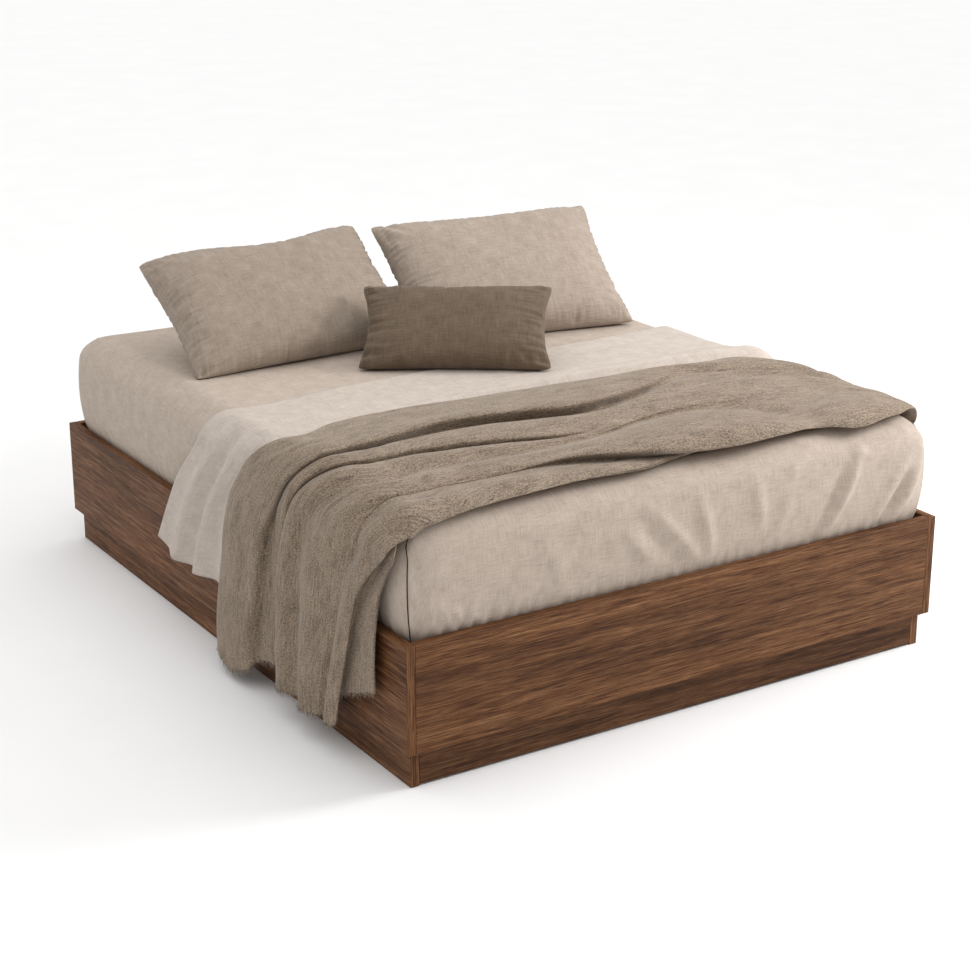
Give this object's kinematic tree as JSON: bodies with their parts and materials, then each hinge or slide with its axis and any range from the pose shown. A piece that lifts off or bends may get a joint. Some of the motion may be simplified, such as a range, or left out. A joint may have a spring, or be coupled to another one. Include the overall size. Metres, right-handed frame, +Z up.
{
  "type": "platform bed frame",
  "caption": "Low platform bed: a walnut-veneered rail box on a recessed plinth, with a slatted deck, mattress, sheets, throw and pillows.",
  "frame": {"origin": "on the floor under the middle of the frame, at the middle of the underside of levelling_foot_2", "axes": "+Z up, +Y towards the head end where the pillows lie, -Y towards the foot end, so -X is the left side seen from the foot"},
  "size_m": [1.7493, 2.08, 0.9917],
  "materials": {
    "walnut_veneer": "satin",
    "birch_plywood": "matte",
    "zinc_steel": "satin",
    "black_plastic": "matte",
    "webbing": "matte",
    "mattress_ticking": "matte",
    "linen_sheet": "matte",
    "light_linen": "matte",
    "wool_throw": "matte",
    "pillow_linen": "matte",
    "dark_linen": "matte"
  },
  "bodies": {
    "frame": {"side_rail_left": "walnut_veneer", "side_rail_right": "walnut_veneer", "foot_rail": "walnut_veneer", "head_rail": "walnut_veneer", "plinth_left": "walnut_veneer", "plinth_right": "walnut_veneer", "plinth_foot": "walnut_veneer", "plinth_head": "walnut_veneer", "plinth_rib_1": "birch_plywood", "plinth_rib_2": "birch_plywood", "base_cleat_left": "birch_plywood", "base_cleat_right": "birch_plywood", "base_cleat_foot": "birch_plywood", "base_cleat_head": "birch_plywood", "ledger_left": "birch_plywood", "ledger_right": "birch_plywood", "centre_beam": "birch_plywood", "centre_leg_1": "birch_plywood", "centre_leg_2": "birch_plywood", "centre_leg_3": "birch_plywood", "slat_01": "birch_plywood", "slat_02": "birch_plywood", "slat_03": "birch_plywood", "slat_04": "birch_plywood", "slat_05": "birch_plywood", "slat_06": "birch_plywood", "slat_07": "birch_plywood", "slat_08": "birch_plywood", "slat_09": "birch_plywood", "slat_10": "birch_plywood", "slat_11": "birch_plywood", "slat_12": "birch_plywood", "slat_13": "birch_plywood", "slat_14": "birch_plywood", "corner_bracket_foot_left": "zinc_steel", "corner_bracket_foot_right": "zinc_steel", "corner_bracket_head_left": "zinc_steel", "corner_bracket_head_right": "zinc_steel", "beam_hanger_foot": "zinc_steel", "beam_hanger_head": "zinc_steel", "corner_bolt_foot_left_side": "zinc_steel", "corner_bolt_foot_left_end": "zinc_steel", "corner_bolt_foot_right_side": "zinc_steel", "corner_bolt_foot_right_end": "zinc_steel", "corner_bolt_head_left_side": "zinc_steel", "corner_bolt_head_left_end": "zinc_steel", "corner_bolt_head_right_side": "zinc_steel", "corner_bolt_head_right_end": "zinc_steel", "slat_tape_left": "webbing", "slat_tape_right": "webbing"},
    "bedding": {"mattress": "mattress_ticking", "fitted_sheet": "linen_sheet", "top_sheet": "light_linen", "throw_blanket": "wool_throw", "pillow_left": "pillow_linen", "pillow_right": "pillow_linen", "lumbar_cushion": "dark_linen"},
    "levelling_foot_1": {"levelling_foot_1": "black_plastic"},
    "levelling_foot_2": {"levelling_foot_2": "black_plastic"},
    "levelling_foot_3": {"levelling_foot_3": "black_plastic"}
  },
  "joints": [
    {"name": "mattress_lift", "type": "slide", "parent": "frame", "child": "bedding", "axis": [0, 0, 1], "range_m": [0, 0.45]},
    {"name": "levelling_screw_1", "type": "slide", "parent": "frame", "child": "levelling_foot_1", "axis": [0, 0, 1], "range_m": [-0.01, 0.01]},
    {"name": "levelling_screw_2", "type": "slide", "parent": "frame", "child": "levelling_foot_2", "axis": [0, 0, 1], "range_m": [-0.01, 0.01]},
    {"name": "levelling_screw_3", "type": "slide", "parent": "frame", "child": "levelling_foot_3", "axis": [0, 0, 1], "range_m": [-0.01, 0.01]}
  ]
}
